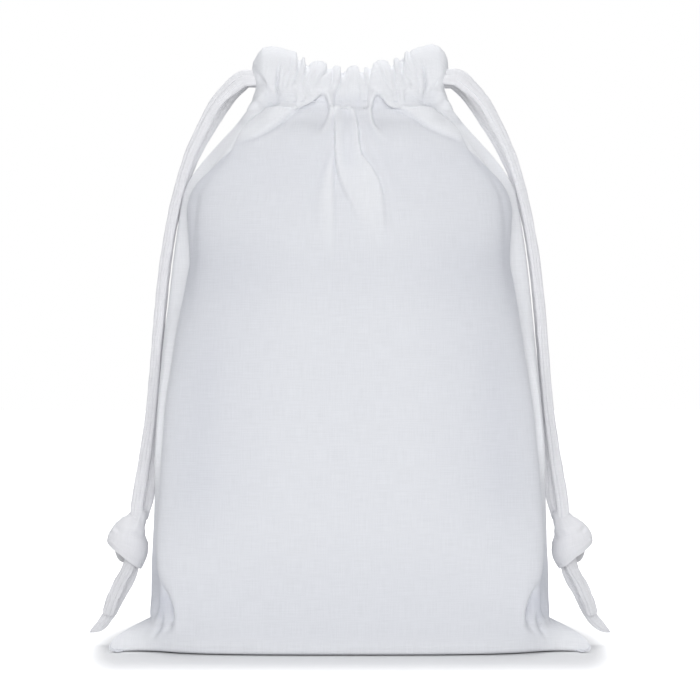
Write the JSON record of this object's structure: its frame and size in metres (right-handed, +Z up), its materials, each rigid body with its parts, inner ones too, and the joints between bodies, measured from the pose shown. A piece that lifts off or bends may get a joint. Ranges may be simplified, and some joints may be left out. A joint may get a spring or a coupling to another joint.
{
  "type": "drawstring gift sack",
  "caption": "Filled cotton gift sack, standing, with a gathered casing mouth and a knotted drawstring hanging at each side.",
  "frame": {"origin": "on the table under the middle of the sack's box", "axes": "+Z up, -Y towards the front panel, +X towards the sack's right-hand slit as the front is seen"},
  "size_m": [0.2202, 0.076, 0.2555],
  "materials": {
    "cotton": "plain-woven unbleached-to-white cotton, matt",
    "cotton_hem": "the same cotton, turned in as hems and seam allowances",
    "thread": "white cotton sewing thread",
    "cord": "soft white cotton drawstring of folded tape"
  },
  "bodies": {
    "sack": {"front_panel": "cotton", "back_panel": "cotton", "front_casing_hem": "cotton_hem", "back_casing_hem": "cotton_hem", "left_side_seam": "cotton_hem", "right_side_seam": "cotton_hem", "bottom_seam": "cotton_hem", "left_side_stitching": "thread", "right_side_stitching": "thread", "bottom_stitching": "thread", "front_casing_stitching": "thread", "back_casing_stitching": "thread", "left_slit_tack": "thread", "right_slit_tack": "thread", "left_cord_run": "cord", "right_cord_run": "cord"},
    "left_leads": {"left_cord_front_lead": "cord", "left_cord_back_lead": "cord"},
    "left_drawstring": {"left_cord_front_strand": "cord", "left_cord_back_strand": "cord", "left_knot": "cord", "left_cord_front_tail": "cord", "left_cord_back_tail": "cord"},
    "right_leads": {"right_cord_front_lead": "cord", "right_cord_back_lead": "cord"},
    "right_drawstring": {"right_cord_front_strand": "cord", "right_cord_back_strand": "cord", "right_knot": "cord", "right_cord_front_tail": "cord", "right_cord_back_tail": "cord"}
  },
  "joints": [
    {"name": "left_draw", "type": "slide", "parent": "sack", "child": "left_leads", "axis": [-1, 0, 0], "range_m": [0, 0.025]},
    {"name": "left_swing", "type": "hinge", "parent": "left_leads", "child": "left_drawstring", "pos_m": [-0.0444, 0, 0.242], "axis": [0, 1, 0], "range_deg": [0, 80]},
    {"name": "right_draw", "type": "slide", "parent": "sack", "child": "right_leads", "axis": [1, 0, 0], "range_m": [0, 0.025]},
    {"name": "right_swing", "type": "hinge", "parent": "right_leads", "child": "right_drawstring", "pos_m": [0.0444, 0, 0.242], "axis": [0, -1, 0], "range_deg": [0, 80]}
  ]
}
